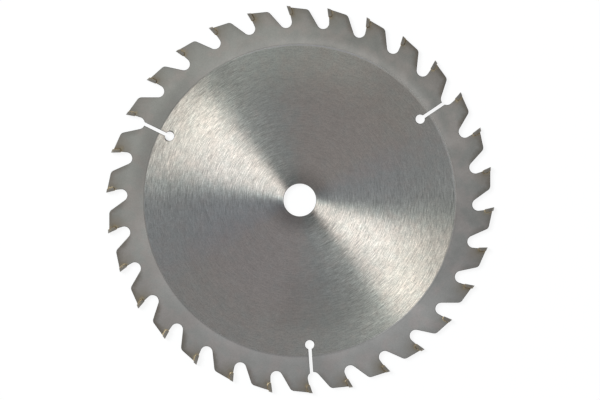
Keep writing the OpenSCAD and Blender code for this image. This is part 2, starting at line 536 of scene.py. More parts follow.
@dataclass(frozen=True)
class GroundSteel(Finish):
    """Steel ground in circles round the bore, which shines in two fans towards the lamp; light and shade of
    the fans are also painted into its colour.
    """

    anisotropy: float = 1.0
    radial_turn: float = 0.25
    marks_across: float = 4600.0
    marks_along: float = 260.0
    mark_wander: float = 0.55 * MM
    mark_contrast: Pair = (0.18, 0.67)
    mark_span: Pair = (-0.3, 0.85)
    mark_depth: float = 0.06 * MM
    scratches_across: float = 2600.0
    scratches_along: float = 120.0
    scratch_span: Pair = (0.56, 0.66)
    scratch_contrast: Pair = (0.035, 0.19)
    bands_across: float = 330.0
    bands_along: float = 130.0
    band_contrast: float = 0.04
    grain_size: float = 0.5 * MM
    grain_contrast: Pair = (0.15, 0.24)
    ring_tones: Pair = (0.4, -0.36)
    lean_gain: float = 0.09
    lean_even: float = -0.015
    lean_axis: float = math.radians(-10.5)
    lean_crests: float = 10.0
    lean_span: Pair = (0.35, 0.65)
    inner_gain: float = 0.13
    inner_side: float = -0.07
    inner_axis: float = math.radians(7.0)
    inner_crests: float = 8.0
    inner_span: Pair = (42.0 * MM, 60.0 * MM)
    sway_gain: float = 0.62
    sway_floor: float = -0.09
    sway_span: Pair = (59.0 * MM, 70.0 * MM)
    swirl_bore: float = math.radians(-18.0)
    swirl_power: float = 2.0
    swirl_outside: float = math.radians(2.0)
    swirl_span: Pair = (20.0 * MM, 70.0 * MM)
    side_gain: float = 0.04
    outside_start: float = 58.0 * MM
    outside_rough: float = 1.2
    outside_tone: float = 1.13
    outside_fan_tone: float = 0.795
    outside_side: float = 0.045
    top_axis: float = math.radians(87.0)
    top_gain: float = 0.24
    top_tint: Colour = (0.978, 1.0, 0.985)
    top_edge: float = 0.8
    top_span: Pair = (48.0 * MM, 72.0 * MM)
    low_axis: float = math.radians(283.0)
    low_gain: float = -0.11
    low_sector: Pair = (0.87, 0.98)
    low_rise: Pair = (25.0 * MM, 45.0 * MM)
    low_fall: Pair = (58.0 * MM, 68.0 * MM)
    bore_shade: float = 0.7
    bore_top_gain: float = 0.04
    bore_shade_reach: float = 12.0 * MM
    bore_fan_shade: float = 0.87
    bore_fan_side: float = 0.06
    bore_fan_span: Pair = (8.0 * MM, 19.0 * MM)
    bore_rough: float = 1.18
    bore_rough_reach: float = 9.0 * MM
    warm: Colour = (1.041, 0.982, 0.967)
    cool: Colour = (0.945, 1.003, 1.015)
    warm_fan: Pair = (0.6, 0.95)
    warm_fan_share: float = 0.8
    warm_dark: Pair = (0.3, -0.9)
    warm_outside: float = 0.55
    warm_fade: float = 45.0 * MM
    tint_wander: float = 1.3
    tint_size: float = 5.0 * MM
    outside_tint: Colour = (1.004, 1.0, 0.972)
    tint_span: Pair = (40.0 * MM, 66.0 * MM)
    flank_tint: Colour = (1.0, 1.0, 1.036)
    flank_edge: float = 0.7
    lilac: Colour = (0.985, 0.995, 1.03)
    lilac_axis: float = math.radians(222.0)
    burr_tooth: int = 12
    burr_axes: Pair = (math.radians(66.0), math.radians(229.0))
    burr_edge: float = 0.72
    burr_width: float = 0.64 * MM
    burr_blur: float = 0.12 * MM
    burr_shade: float = 0.2

    def build(self, shelf: EffectShelf, sizes: BladeSizes) -> bpy.types.Material:
        """Build the material.

        Args:
            shelf: The shared effects.
            sizes: Sizes of the blade.

        Returns:
            The finished material.
        """
        material, graph, shader = self.start()
        spot = shelf.use(graph, Effect.PLACE)
        off_axis = graph.maths("SUBTRACT", spot["Angle"], sizes.fan_axis)
        height, marks = self._marks(graph, shelf, spot)
        top, low = self._between(graph, spot)
        past_ring = graph.maths("SUBTRACT", 1.0, spot["Ground"])
        tones = [
            *marks,
            *self._shades(graph, spot, sizes, off_axis),
            self._lean(graph, spot, off_axis),
            *self._sway(graph, spot, off_axis),
            graph.raised(top, self.top_gain),
            low,
            # Past the blurred edge of the grinding, the steel is painted as the rim looks under this lamp:
            # painted light between the fans and painted shade in them.
            graph.raised(past_ring, graph.between(spot["Fan"], self.ring_tones)),
            self._burrs(graph, sizes),
        ]
        patches = shelf.use(graph, Effect.MOTTLE, {"Size": self.tint_size})["Height"]
        tinted = self._tinted(graph, spot, sizes, patches)
        # The flanks of the fans get a cool painted reflection colour.
        turn = graph.times(off_axis, sizes.fan_count)
        flank = graph.span(graph.maths("SINE", turn), self.flank_edge, 1.0)
        tinted = graph.tint(top, tinted, rgba(self.top_tint))
        tinted = graph.tint(flank, tinted, rgba(self.flank_tint))
        graph.feed(shader.inputs["Base Color"], graph.tone(tinted, *tones))
        graph.feed(shader.inputs["Roughness"], self._rough(graph, spot, sizes))
        graph.feed(shader.inputs["Normal"], graph.bump(height, self.mark_depth))
        graph.feed(shader.inputs["Anisotropic"], self.anisotropy)
        graph.feed(shader.inputs["Anisotropic Rotation"], self.radial_turn)
        graph.feed(shader.inputs["Tangent"], self._tangent(graph, spot, sizes))
        return material

    def _marks(self, graph: Graph, shelf: EffectShelf, spot: Outputs) -> tuple[Socket, list[Socket]]:
        """Draw the marks of the grinding wheel, broad bands, scratches and a grain, with painted glints:
        their contrast grows towards the fans of lamplight.

        Args:
            graph: Tree of the material.
            shelf: The shared effects.
            spot: Place on the plate.

        Returns:
            The height of the marks, and the tones.
        """
        # The marks are real; their stronger contrast in the fans of lamplight, and the grain's, is a painted
        # glint.
        glint_share = graph.span(spot["Level"], *self.mark_span)
        girth = graph.times(spot["Radius"], math.tau)
        marks = shelf.use(graph, Effect.STREAKS, {
            "Marks per metre": self.marks_across,
            "Marks per turn": graph.times(girth, self.marks_along),
            "Wander": self.mark_wander,
            "Contrast": graph.between(glint_share, self.mark_contrast),
        })
        bands = shelf.use(graph, Effect.STREAKS, {
            "Marks per metre": self.bands_across,
            "Marks per turn": graph.times(girth, self.bands_along),
            "Contrast": self.band_contrast,
        })
        scratches = shelf.use(graph, Effect.STREAKS, {
            "Marks per metre": self.scratches_across,
            "Marks per turn": graph.times(girth, self.scratches_along),
            "Wander": self.mark_wander,
        })
        grain = shelf.use(graph, Effect.GRAIN, {
            "Size": self.grain_size,
            "Contrast": graph.between(spot["Fan"], self.grain_contrast),
        })
        scratch = graph.span(scratches["Height"], *self.scratch_span)
        scratch = graph.times(scratch, graph.between(glint_share, self.scratch_contrast))
        clean = graph.maths("SUBTRACT", 1.0, scratch)
        return marks["Height"], [marks["Tone"], bands["Tone"], grain["Tone"], clean]

    def _shades(self, graph: Graph, spot: Outputs, sizes: BladeSizes, off_axis: Socket) -> list[Socket]:
        """Shade the steel at the bore, outside and on the side of the lamp.

        Args:
            graph: Tree of the material.
            spot: Place on the plate.
            sizes: Sizes of the blade.
            off_axis: Angle from the middle of the fans.

        Returns:
            The tones.
        """
        facing = graph.maths("COSINE", off_axis)
        from_bore = graph.maths("SUBTRACT", spot["Radius"], sizes.bore_radius)
        bore_fan = graph.maths("MULTIPLY_ADD", facing, self.bore_fan_side, self.bore_fan_shade)
        bore_fan = graph.span(from_bore, *self.bore_fan_span, bore_fan, 1.0)
        upward = graph.facing(spot["Angle"], self.top_axis)
        shade = graph.maths("MULTIPLY_ADD", upward, self.bore_top_gain, self.bore_shade)
        shade = graph.span(from_bore, 0.0, self.bore_shade_reach, shade, 1.0)
        shade = graph.maths("MULTIPLY_ADD", spot["Fan"], graph.maths("SUBTRACT", bore_fan, shade), shade)
        fan_change = self.outside_fan_tone - self.outside_tone
        fan_tone = graph.maths("MULTIPLY_ADD", facing, -self.outside_side, fan_change)
        edge_tone = graph.maths("MULTIPLY_ADD", spot["Fan"], fan_tone, self.outside_tone)
        pale = graph.span(spot["Radius"], self.outside_start, sizes.ground_radius, 1.0, edge_tone)
        return [shade, pale, graph.raised(facing, -self.side_gain)]

    def _lean(self, graph: Graph, spot: Outputs, off_axis: Socket) -> Socket:
        """Paint light and shade into the fans, so that they are steep on one flank and gentle on the other.

        Args:
            graph: Tree of the material.
            spot: Place on the plate.
            off_axis: Angle from the middle of the fans.

        Returns:
            The tone.
        """
        wave = graph.wave(off_axis, self.lean_axis, self.lean_crests)
        lean = graph.maths("MULTIPLY_ADD", wave, self.lean_gain, self.lean_even)
        return graph.raised(graph.span(spot["Level"], *self.lean_span), lean)

    def _sway(self, graph: Graph, spot: Outputs, off_axis: Socket) -> tuple[Socket, Socket]:
        """Paint light and shade that sway the fans: the inner part most on one side, the outer parts away
        from each other.

        Args:
            graph: Tree of the material.
            spot: Place on the plate.
            off_axis: Angle from the middle of the fans.

        Returns:
            The tone of the inner part and the tone of the outer part.
        """
        facing = graph.maths("COSINE", off_axis)
        gain = graph.maths("MULTIPLY_ADD", facing, self.inner_side, self.inner_gain)
        gain = graph.span(spot["Radius"], *self.inner_span, gain, 0.0)
        inner = graph.times(graph.wave(off_axis, self.inner_axis, self.inner_crests), spot["Fan"])
        outer = graph.times(graph.maths("SINE", off_axis), spot["Fan"])
        outer = graph.maths("MAXIMUM", outer, self.sway_floor)
        reach = graph.span(spot["Radius"], *self.sway_span, 0.0, self.sway_gain)
        return graph.raised(inner, gain), graph.raised(outer, reach)

    def _burrs(self, graph: Graph, sizes: BladeSizes) -> Socket:
        """Paint the shade of two short burrs at the round end of one expansion slot, as dark crescents.

        Args:
            graph: Tree of the material.
            sizes: Sizes of the blade.

        Returns:
            The tone.
        """
        middle = sizes.slot_end(self.burr_tooth)
        place = graph.add("ShaderNodeVectorMath", {0: graph.place(), 1: middle}, operation="SUBTRACT")
        reach, angle = graph.polar(place.outputs[0])
        widths = [
            graph.span(graph.facing(angle, axis), self.burr_edge, 1.0, 0.0, self.burr_width)
            for axis in self.burr_axes
        ]
        edge = graph.maths("ADD", graph.maths("MAXIMUM", *widths), sizes.slot_end_radius)
        return graph.span(graph.maths("SUBTRACT", edge, reach), 0.0, self.burr_blur, 1.0, self.burr_shade)

    def _between(self, graph: Graph, spot: Outputs) -> tuple[Socket, Socket]:
        """Find the steel between the fans that is paler, outside at the top, and darker, at the bottom.

        Args:
            graph: Tree of the material.
            spot: Place on the plate.

        Returns:
            The share of the top that a place has, and the tone of the bottom.
        """
        radius = spot["Radius"]
        top = graph.span(graph.facing(spot["Angle"], self.top_axis), self.top_edge, 1.0)
        top = graph.times(top, graph.span(radius, *self.top_span))
        near = graph.facing(spot["Angle"], self.low_axis)
        low = graph.span(near, *self.low_sector, 0.0, self.low_gain)
        low = graph.times(low, graph.span(radius, *self.low_rise))
        return top, graph.raised(low, graph.span(radius, *self.low_fall, 1.0, 0.0))

    def _tinted(self, graph: Graph, spot: Outputs, sizes: BladeSizes, patches: Socket) -> Socket:
        """Tint the steel with painted reflection colours, warm in the fans and midway between them and cool
        beside them, and lilac on one side.

        Args:
            graph: Tree of the material.
            spot: Place on the plate.
            sizes: Sizes of the blade.
            patches: Soft patches, which make the tint uneven.

        Returns:
            The tinted colour.
        """
        level = spot["Level"]
        fade = graph.span(spot["Radius"], self.warm_fade, sizes.ground_radius, 1.0, self.warm_outside)
        between = graph.times(graph.span(level, *self.warm_dark), fade)
        even = graph.maths("MAXIMUM", graph.span(level, *self.warm_fan, 0.0, self.warm_fan_share), between)
        wander = graph.times(graph.centred(patches), self.tint_wander)
        tint = graph.mix(graph.maths("ADD", even, wander), rgba(self.cool), rgba(self.warm))
        lilac = graph.span(graph.facing(spot["Angle"], self.lilac_axis), 0.0, 1.0)
        tint = graph.tint(lilac, tint, rgba(self.lilac))
        tinted = graph.tint(1.0, rgba(self.colour), tint)
        far = graph.span(spot["Radius"], *self.tint_span)
        return graph.tint(far, tinted, rgba(self.outside_tint))

    def _rough(self, graph: Graph, spot: Outputs, sizes: BladeSizes) -> Socket:
        """Make the steel rougher outside and at the bore, where the fans are wider.

        Args:
            graph: Tree of the material.
            spot: Place on the plate.
            sizes: Sizes of the blade.

        Returns:
            The roughness.
        """
        ends = (self.roughness, self.roughness * self.outside_rough)
        rough = graph.span(spot["Radius"], self.outside_start, sizes.ground_radius, *ends)
        from_bore = graph.maths("SUBTRACT", spot["Radius"], sizes.bore_radius)
        widen = graph.span(from_bore, 0.0, self.bore_rough_reach, self.bore_rough, 1.0)
        return graph.times(rough, widen)

    def _tangent(self, graph: Graph, spot: Outputs, sizes: BladeSizes) -> Socket:
        """Lay the marks round the bore, swirled a little near it and outside.

        Args:
            graph: Tree of the material.
            spot: Place on the plate.
            sizes: Sizes of the blade.

        Returns:
            The direction that the marks are laid out by.
        """
        around = graph.add("ShaderNodeTangent", direction_type="RADIAL", axis="Z").outputs[0]
        near = graph.maths("DIVIDE", sizes.bore_radius, spot["Radius"])
        near = graph.maths("POWER", near, self.swirl_power)
        far = graph.span(spot["Radius"], *self.swirl_span, 0.0, self.swirl_outside)
        swirl = graph.maths("MULTIPLY_ADD", near, self.swirl_bore, far)
        feeds = {"Vector": around, "Angle": swirl}
        return graph.add("ShaderNodeVectorRotate", feeds, rotation_type="Z_AXIS").outputs[0]


@dataclass(frozen=True)
class Sector:
    """A side of the rim whose colour is made paler or darker than the rest."""

    axis: float
    gain: float
    edge: float = math.cos(math.radians(33.0))
    heart: float = math.cos(math.radians(8.0))

    def tone(self, graph: Graph, angle: Socket, share: Feed = 1.0) -> Socket:
        """Give the tone of a place, which gets a share of the gain."""
        gain = graph.span(graph.facing(angle, self.axis), self.edge, self.heart, 0.0, self.gain)
        return graph.raised(gain, share)


@dataclass(frozen=True)
class BlastedSteel(Finish):
    """Matte blasted steel of the rim, stained by heat round the brazed tips."""

    grain_size: float = 0.5 * MM
    grain_contrast: float = 0.08
    grain_depth: float = 0.02 * MM
    mottle_size: float = 16.0 * MM
    mottle_contrast: float = 0.09
    band: Colour = (0.56, 0.552, 0.556)
    band_width: float = 5.5 * MM
    band_share: float = 0.85
    band_axis: float = math.radians(80.0)
    band_even: float = 0.36
    band_ends: float = 0.2
    band_side: float = 0.14
    band_uneven: float = 2.0
    sides: float = 2.0
    warm: Colour = (0.46, 0.439, 0.432)
    warm_span: Pair = (0.42, 0.62)
    warm_axis: float = math.radians(40.0)
    warm_swing: float = 0.05
    blotch_size: float = 9.0 * MM
    blotch_axis: float = math.radians(30.0)
    blotch_gain: float = 0.45
    blotch_sector: Pair = (math.cos(math.radians(85.0)), math.cos(math.radians(25.0)))
    outer_shade: float = 0.84
    by_ring: Sector = Sector(math.radians(40.0), 0.06)
    ring_reach: float = 3.0 * MM
    ring_tones: Pair = (-0.27, 0.3)
    pale_side: Sector = Sector(math.radians(308.0), 0.19)
    top_side: Sector = Sector(math.radians(115.0), 0.07)
    dim_side: Sector = Sector(math.radians(352.0), -0.08)
    # Painted shade on the rim beside the ring, on the lamp's side.
    shaded_side: Sector = Sector(math.radians(154.5), -0.24)
    shaded_side_reach: float = 9.0 * MM
    outer_side: Sector = Sector(math.radians(58.0), -0.12)
    ramp_even: float = 0.97
    ramp_gain: float = 0.09
    yellow: Colour = (1.004, 1.0, 0.962)
    lilac: Colour = (1.004, 1.0, 1.012)
    yellow_axis: float = math.radians(105.0)
    # Brownish painted shade along the lands and backs of the teeth, strongest on two opposite sides of the
    # blade.
    edge_shade: Colour = (0.155, 0.13, 0.1)
    edge_shade_reach: float = 3.5 * MM
    edge_shade_share: float = 0.38
    edge_shade_swing: float = 0.3
    edge_shade_span: Pair = (83.0 * MM, 87.5 * MM)
    tarnish: Colour = (0.32, 0.29, 0.245)
    tarnish_reach: float = 8.0 * MM
    tarnish_shares: Pair = (0.15, 0.75)
    stain: Colour = (0.27, 0.235, 0.18)
    stain_reach: float = 2.6 * MM
    stain_shares: Pair = (0.3, 0.85)
    stain_wander: float = 2.6 * MM
    stain_size: float = 1.6 * MM
    stain_cloud: Cloud = Cloud(3.0, 0.6)
    smear: Colour = (0.45, 0.385, 0.27)
    smear_fade: Pair = (0.34 * MM, 1.7 * MM)
    smear_share: float = 0.75
    smear_size: float = 2.6 * MM
    smear_cloud: Cloud = Cloud(2.0, 0.55)
    smear_span: Pair = (0.46, 0.62)

    def build(self, shelf: EffectShelf, sizes: BladeSizes) -> bpy.types.Material:
        """Build the material.

        Args:
            shelf: The shared effects.
            sizes: Sizes of the blade.

        Returns:
            The finished material.
        """
        material, graph, shader = self.start()
        spot = shelf.use(graph, Effect.PLACE)
        angle = spot["Angle"]
        grain = shelf.use(graph, Effect.GRAIN, {"Size": self.grain_size, "Contrast": self.grain_contrast})
        mottle = shelf.use(graph, Effect.MOTTLE, {"Size": self.mottle_size, "Contrast": self.mottle_contrast})
        patches = shelf.use(graph, Effect.MOTTLE, {"Size": self.blotch_size})["Height"]
        swing = graph.wave(angle, self.warm_axis, self.sides)
        warmth = graph.maths("MULTIPLY_ADD", swing, self.warm_swing, patches)
        warmth = graph.span(warmth, *self.warm_span)
        warmed = graph.mix(warmth, rgba(self.colour), rgba(self.warm))
        fade = self._beside(graph, spot, sizes, self.band_width)
        strength = graph.times(self._band(graph, angle, mottle["Tone"]), self.band_share)
        banded = graph.mix(graph.times(fade, strength), warmed, rgba(self.band))
        blotches = graph.facing(angle, self.blotch_axis)
        blotches = graph.span(blotches, *self.blotch_sector, 0.0, self.blotch_gain)
        tones = [
            grain["Tone"],
            mottle["Tone"],
            *self._shades(graph, spot, sizes, fade),
            graph.raised(graph.centred(patches), blotches),
        ]
        yellowed = graph.span(graph.facing(angle, self.yellow_axis), -1.0, 1.0)
        tint = graph.mix(yellowed, rgba(self.lilac), rgba(self.yellow))
        colour = graph.tint(1.0, graph.tone(banded, *tones), tint)
        # Painted shade along the lands and backs: stronger on two opposite sides and towards the teeth.
        shaded_edges = graph.maths("MULTIPLY_ADD", swing, self.edge_shade_swing, self.edge_shade_share)
        shaded_edges = graph.maths("MAXIMUM", shaded_edges, 0.0)
        outward_share = graph.span(spot["Radius"], *self.edge_shade_span)
        colour = self._stained(graph, shelf, colour, graph.times(shaded_edges, outward_share))
        graph.feed(shader.inputs["Base Color"], colour)
        graph.feed(shader.inputs["Normal"], graph.bump(grain["Height"], self.grain_depth))
        return material

    def _beside(self, graph: Graph, spot: Outputs, sizes: BladeSizes, reach: float) -> Socket:
        """Give a share that is 1 at the ring where the grinding ends and fades over a reach."""
        return graph.span(spot["Radius"], sizes.rim_start, sizes.rim_start + reach, 1.0, 0.0)

    def _band(self, graph: Graph, angle: Socket, uneven: Socket) -> Socket:
        """Give the strength of the pale band beside the ring, which changes round the blade.

        Args:
            graph: Tree of the material.
            angle: Angle round the bore.
            uneven: A tone round 1 that makes the band uneven.

        Returns:
            The strength.
        """
        ends = graph.wave(angle, self.band_axis, self.sides)
        strength = graph.maths("MULTIPLY_ADD", ends, self.band_ends, self.band_even)
        side = graph.facing(angle, self.band_axis)
        strength = graph.maths("MULTIPLY_ADD", side, self.band_side, strength)
        uneven = graph.maths("MULTIPLY_ADD", uneven, self.band_uneven, -self.band_uneven)
        return graph.maths("ADD", strength, uneven)

    def _shades(self, graph: Graph, spot: Outputs, sizes: BladeSizes, fade: Socket) -> list[Socket]:
        """Shade the rim outside, at the ring and by sides.

        Args:
            graph: Tree of the material.
            spot: Place on the plate.
            sizes: Sizes of the blade.
            fade: Share of the band beside the ring.

        Returns:
            The tones.
        """
        angle = spot["Angle"]
        start = sizes.rim_start
        band_end = start + self.band_width
        outer = graph.span(spot["Radius"], band_end, sizes.cutting_radius, 1.0, self.outer_shade)
        # The ramp is painted lighter on the lamp's side, where it leans away from the lamp, and darker
        # opposite: painted light and shade that evens its line.
        ramp = graph.facing(angle, self.shaded_side.axis)
        ramp = graph.maths("MULTIPLY_ADD", ramp, self.ramp_gain, self.ramp_even)
        ramp = graph.span(spot["Radius"], start, start + sizes.ground_runout, ramp, 1.0)
        return [
            outer,
            ramp,
            self.by_ring.tone(graph, angle, self._beside(graph, spot, sizes, self.ring_reach)),
            self.pale_side.tone(graph, angle),
            self.top_side.tone(graph, angle),
            self.dim_side.tone(graph, angle),
            self.shaded_side.tone(graph, angle, self._beside(graph, spot, sizes, self.shaded_side_reach)),
            self.outer_side.tone(graph, angle, graph.maths("SUBTRACT", 1.0, fade)),
            # Inside the blurred edge of the grinding, the rim is painted as the ground steel looks under this
            # lamp: painted shade between the fans and painted light in them.
            graph.raised(spot["Ground"], graph.between(spot["Fan"], self.ring_tones)),
        ]

    def _stained(self, graph: Graph, shelf: EffectShelf, colour: Socket, edge_shading: Socket) -> Socket:
        """Stain the teeth with the brown of the brazing heat and smears of braze, and paint brownish shade
        along their lands and backs.

        Args:
            graph: Tree of the material.
            shelf: The shared effects.
            colour: Colour of the clean steel.
            edge_shading: How much painted shade the lands and backs of the teeth get.

        Returns:
            The stained colour.
        """
        tooth = shelf.use(graph, Effect.TOOTH)
        cloud = graph.noise(graph.place(), 1.0 / self.stain_size, self.stain_cloud)
        wander = graph.times(graph.centred(cloud), self.stain_wander)
        away = graph.maths("ADD", tooth["Distance"], wander)
        inside = graph.maths("ADD", tooth["Edge"], wander)
        edge_dark = graph.times(graph.span(inside, 0.0, self.edge_shade_reach, 1.0, 0.0), edge_shading)
        colour = graph.mix(edge_dark, colour, rgba(self.edge_shade))
        dull = graph.span(tooth["Chance"], 0.0, 1.0, *self.tarnish_shares)
        haze = graph.times(graph.span(away, 0.0, self.tarnish_reach, 1.0, 0.0), dull)
        colour = graph.mix(haze, colour, rgba(self.tarnish))
        strong = graph.span(tooth["Chance"], 0.0, 1.0, *self.stain_shares)
        heat = graph.times(graph.span(away, 0.0, self.stain_reach, 1.0, 0.0), strong)
        colour = graph.mix(heat, colour, rgba(self.stain))
        patches = graph.noise(graph.place(), 1.0 / self.smear_size, self.smear_cloud)
        gold = graph.span(patches, *self.smear_span)
        near = graph.span(away, *self.smear_fade, 1.0, 0.0)
        share = graph.times(graph.times(gold, near), self.smear_share)
        return graph.mix(share, colour, rgba(self.smear))


@dataclass(frozen=True)
class CutSteel(Finish):
    """Edges of the plate where the beam has cut it, with fine upright lines."""

    mottle_size: float = 3.0 * MM
    mottle_contrast: float = 0.12
    line_size: float = 0.16 * MM
    line_stretch: tuple[float, float, float] = (1.0, 1.0, 0.12)
    line_cloud: Cloud = Cloud()
    line_span: Pair = (0.25, 0.75)
    line_tones: Pair = (0.8, 1.15)
    line_depth: float = 0.03 * MM

    def build(self, shelf: EffectShelf) -> bpy.types.Material:
        """Build the material.

        Args:
            shelf: The shared effects.

        Returns:
            The finished material.
        """
        material, graph, shader = self.start()
        mottle = shelf.use(graph, Effect.MOTTLE, {"Size": self.mottle_size, "Contrast": self.mottle_contrast})
        feeds = {0: graph.place(), 1: self.line_stretch}
        upright = graph.add("ShaderNodeVectorMath", feeds, operation="MULTIPLY").outputs[0]
        lines = graph.noise(upright, 1.0 / self.line_size, self.line_cloud)
        tone = graph.span(lines, *self.line_span, *self.line_tones)
        graph.feed(shader.inputs["Base Color"], graph.tone(self.colour, tone, mottle["Tone"]))
        graph.feed(shader.inputs["Normal"], graph.bump(lines, self.line_depth))
        return material


@dataclass(frozen=True)
class GroundCarbide(Finish):
    """Sintered carbide with ground faces and bright edges."""

    grain_size: float = 0.12 * MM
    grain_contrast: float = 0.07
    mottle_size: float = 3.0 * MM
    mottle_contrast: float = 0.1
    marks_across: float = 400.0
    marks_along: float = 9000.0
    mark_contrast: float = 0.14
    mark_depth: float = 0.012 * MM
    edge: Colour = (0.5, 0.49, 0.47)
    edge_width: float = 0.06 * MM
    edge_share: float = 0.6
    smear: Colour = (0.43, 0.36, 0.245)
    smear_reach: float = 1.4 * MM
    smear_share: float = 0.8
    smear_size: float = 1.4 * MM
    smear_cloud: Cloud = Cloud(3.0, 0.6)
    smear_luck: Pair = (-0.08, 0.08)
    smear_span: Pair = (0.44, 0.6)

    def build(self, shelf: EffectShelf) -> bpy.types.Material:
        """Build the material.

        Args:
            shelf: The shared effects.

        Returns:
            The finished material.
        """
        material, graph, shader = self.start()
        grain = shelf.use(graph, Effect.GRAIN, {"Size": self.grain_size, "Contrast": self.grain_contrast})
        mottle = shelf.use(graph, Effect.MOTTLE, {"Size": self.mottle_size, "Contrast": self.mottle_contrast})
        marks = shelf.use(graph, Effect.STREAKS, {
            "Marks per metre": self.marks_across,
            "Marks per turn": self.marks_along,
            "Contrast": self.mark_contrast,
        })
        worn = shelf.use(graph, Effect.EDGE, {"Width": self.edge_width})["Mask"]
        colour = graph.tone(self.colour, grain["Tone"], mottle["Tone"], marks["Tone"])
        colour = self._smeared(graph, shelf, colour)
        colour = graph.mix(graph.times(worn, self.edge_share), colour, rgba(self.edge))
        graph.feed(shader.inputs["Base Color"], colour)
        graph.feed(shader.inputs["Normal"], graph.bump(marks["Height"], self.mark_depth))
        return material

    def _smeared(self, graph: Graph, shelf: EffectShelf, colour: Socket) -> Socket:
        """Smear braze over the back and the foot of a tip.

        Args:
            graph: Tree of the material.
            shelf: The shared effects.
            colour: Colour of the clean carbide.

        Returns:
            The colour with smears.
        """
        tooth = shelf.use(graph, Effect.TOOTH)
        patches = graph.noise(graph.place(), 1.0 / self.smear_size, self.smear_cloud)
        patches = graph.maths("ADD", patches, graph.between(tooth["Chance"], self.smear_luck))
        gold = graph.span(patches, *self.smear_span)
        near = graph.span(tooth["Depth"], 0.0, self.smear_reach, 1.0, 0.0)
        share = graph.times(graph.times(gold, near), self.smear_share)
        return graph.mix(share, colour, rgba(self.smear))


@dataclass(frozen=True)
class FlowedBraze(Finish):
    """Brass-coloured braze with a skin of brown oxide in patches."""

    grain_size: float = 0.2 * MM
    grain_contrast: float = 0.08
    grain_depth: float = 0.02 * MM
    oxide: Colour = (0.24, 0.19, 0.13)
    oxide_size: float = 2.2 * MM
    oxide_luck: float = 0.25
    oxide_span: Pair = (0.45, 0.75)

    def build(self, shelf: EffectShelf) -> bpy.types.Material:
        """Build the material.

        Args:
            shelf: The shared effects.

        Returns:
            The finished material.
        """
        material, graph, shader = self.start()
        grain = shelf.use(graph, Effect.GRAIN, {"Size": self.grain_size, "Contrast": self.grain_contrast})
        patches = shelf.use(graph, Effect.MOTTLE, {"Size": self.oxide_size})["Height"]
        chance = shelf.use(graph, Effect.TOOTH)["Chance"]
        patches = graph.maths("MULTIPLY_ADD", chance, self.oxide_luck, patches)
        skin = graph.span(patches, *self.oxide_span)
        colour = graph.mix(skin, rgba(self.colour), rgba(self.oxide))
        graph.feed(shader.inputs["Base Color"], graph.tone(colour, grain["Tone"]))
        graph.feed(shader.inputs["Normal"], graph.bump(grain["Height"], self.grain_depth))
        return material


@dataclass
class SteelPlate:
    """The plate with its three finishes and broken edges."""

    sizes: BladeSizes
    node: str = "steel_plate"
    ground: GroundSteel = GroundSteel("ground_steel", (0.63, 0.615, 0.59), 0.35)
    rim: BlastedSteel = BlastedSteel("blasted_steel", (0.433, 0.436, 0.43), 0.5)
    cut: CutSteel = CutSteel("cut_steel", (0.11, 0.107, 0.1), 0.5)
    edge_break: float = 0.2 * MM
    edge_segments: int = 2
    edge_angle: float = math.radians(40.0)
    weld_reach: float = 0.001 * MM
    flat_angle: float = math.radians(0.2)
    wall_slope: float = 0.5

    def dress(self, shelf: EffectShelf) -> bpy.types.Object:
        """Give each zone its finish and break the edges.

        Args:
            shelf: The shared effects.

        Returns:
            The plate.
        """
        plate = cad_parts[self.node]
        plate.data.materials.clear()
        plate.data.materials.append(self.ground.build(shelf, self.sizes))
        plate.data.materials.append(self.rim.build(shelf, self.sizes))
        plate.data.materials.append(self.cut.build(shelf))
        for polygon in plate.data.polygons:
            zone = self._zone(plate.data, polygon)
            polygon.material_index = zone.value
            polygon.use_smooth = zone is PlateZone.CUT
        self._break_edges(plate)
        return plate

    def _zone(self, mesh: bpy.types.Mesh, polygon: bpy.types.MeshPolygon) -> PlateZone:
        """Tell which zone a face belongs to.

        Args:
            mesh: Mesh of the plate.
            polygon: The face.

        Returns:
            The face's zone.
        """
        if abs(polygon.normal.z) < self.wall_slope:
            return PlateZone.CUT
        highest = max(abs(mesh.vertices[index].co.z) for index in polygon.vertices)
        return PlateZone.GROUND if highest < self.sizes.half_ground + self.weld_reach else PlateZone.RIM

    def _break_edges(self, plate: bpy.types.Object) -> None:
        """Join the faces of the mesh and round its sharp edges a little.

        Args:
            plate: The plate.
        """
        weld = plate.modifiers.new("join_faces", "WELD")
        weld.merge_threshold = self.weld_reach
        flat = plate.modifiers.new("flat_faces", "DECIMATE")
        flat.decimate_type = "DISSOLVE"
        flat.angle_limit = self.flat_angle
        flat.delimit = {"MATERIAL"}
        bevel = plate.modifiers.new("broken_edges", "BEVEL")
        bevel.width = self.edge_break
        bevel.segments = self.edge_segments
        bevel.limit_method = "ANGLE"
        bevel.angle_limit = self.edge_angle
        # The rounded edges take the dark cut finish: painted shade that draws them as dark outlines.
        bevel.material = PlateZone.CUT.value
        bevel.harden_normals = False


@dataclass
class CarbideTips:
    """The tips, all of one ground carbide."""

    sizes: BladeSizes
    finish: GroundCarbide = GroundCarbide("ground_carbide", (0.33, 0.312, 0.285), 0.42)

    def dress(self, shelf: EffectShelf) -> list[bpy.types.Object]:
        """Give the tips their finish.

        Args:
            shelf: The shared effects.

        Returns:
            The tips.
        """
        carbide = self.finish.build(shelf)
        tips = [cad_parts[name] for name in self.sizes.tips]
        for tip in tips:
            tip.data.materials.clear()
            tip.data.materials.append(carbide)
        return tips


